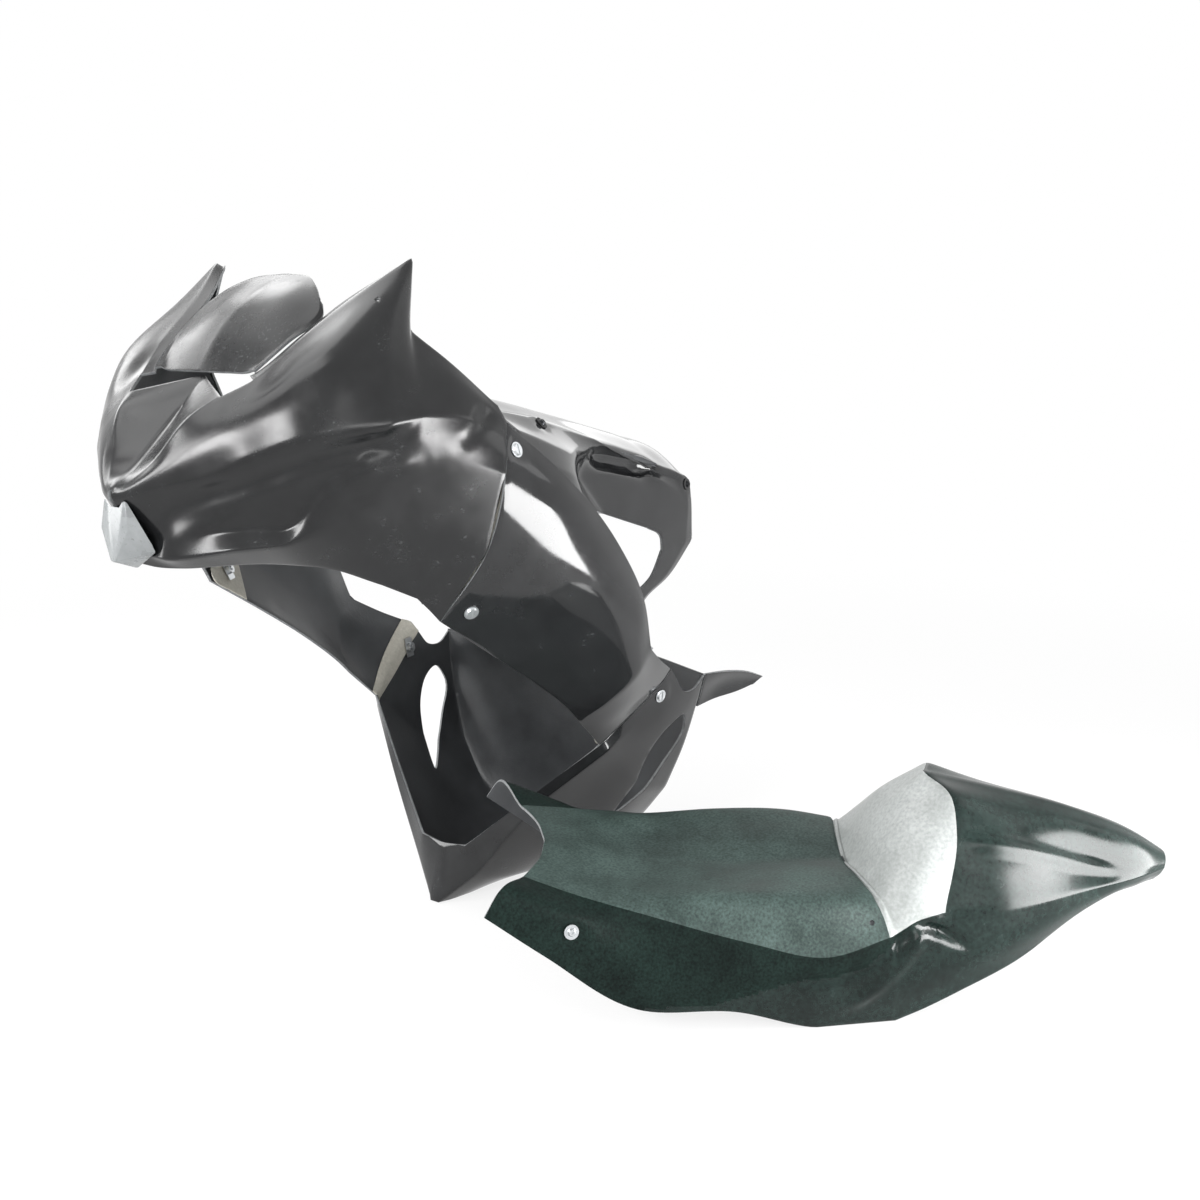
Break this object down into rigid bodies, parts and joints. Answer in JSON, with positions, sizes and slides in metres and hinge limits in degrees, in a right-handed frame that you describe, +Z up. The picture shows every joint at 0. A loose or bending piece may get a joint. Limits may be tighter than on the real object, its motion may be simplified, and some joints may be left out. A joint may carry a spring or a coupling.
{
  "type": "motorcycle fairing",
  "caption": "Race bodywork set for a sports motorcycle in black glass-fibre laminate: nose fairing with screen blank, side panels, belly pan, tank cover and seat unit.",
  "frame": {"origin": "centre of the flat foot of the belly pan's keel, on the floor", "axes": "+X to the rear of the motorcycle, +Y to the rider's right, +Z up"},
  "size_m": [0.8987, 1.0997, 0.824],
  "materials": {
    "black_gelcoat": "glossy black gelcoat over glass-fibre laminate",
    "seat_laminate": "dark laminate, rough deck and glossy tail",
    "raw_laminate": "raw glass-fibre laminate",
    "plated_steel": "zinc plated",
    "black_screw": "black oxide",
    "strap": "mill finish",
    "rubber": "matt"
  },
  "bodies": {
    "root": {"upper_fairing": "black_gelcoat", "windscreen": "black_gelcoat", "nose_snout": "black_gelcoat", "side_panel_left": "black_gelcoat", "side_panel_right": "black_gelcoat", "belly_pan": "black_gelcoat", "belly_flare_left": "black_gelcoat", "belly_flare_right": "black_gelcoat", "tank_cover": "black_gelcoat", "seat_unit": "seat_laminate", "upper_joint_strip_left": "raw_laminate", "upper_joint_strip_right": "raw_laminate", "belly_joint_strip_left": "raw_laminate", "belly_joint_strip_right": "raw_laminate", "upper_joint_studs": "plated_steel", "upper_joint_washers": "plated_steel", "upper_joint_receptacles": "plated_steel", "belly_joint_studs": "plated_steel", "belly_joint_washers": "plated_steel", "belly_joint_receptacles": "plated_steel", "cover_screws": "black_screw", "cover_washers": "rubber", "cover_nuts": "plated_steel", "cover_strap_left": "strap", "cover_strap_right": "strap", "seat_screws": "plated_steel", "seat_washers": "plated_steel", "seat_nuts": "plated_steel"}
  },
  "joints": []
}
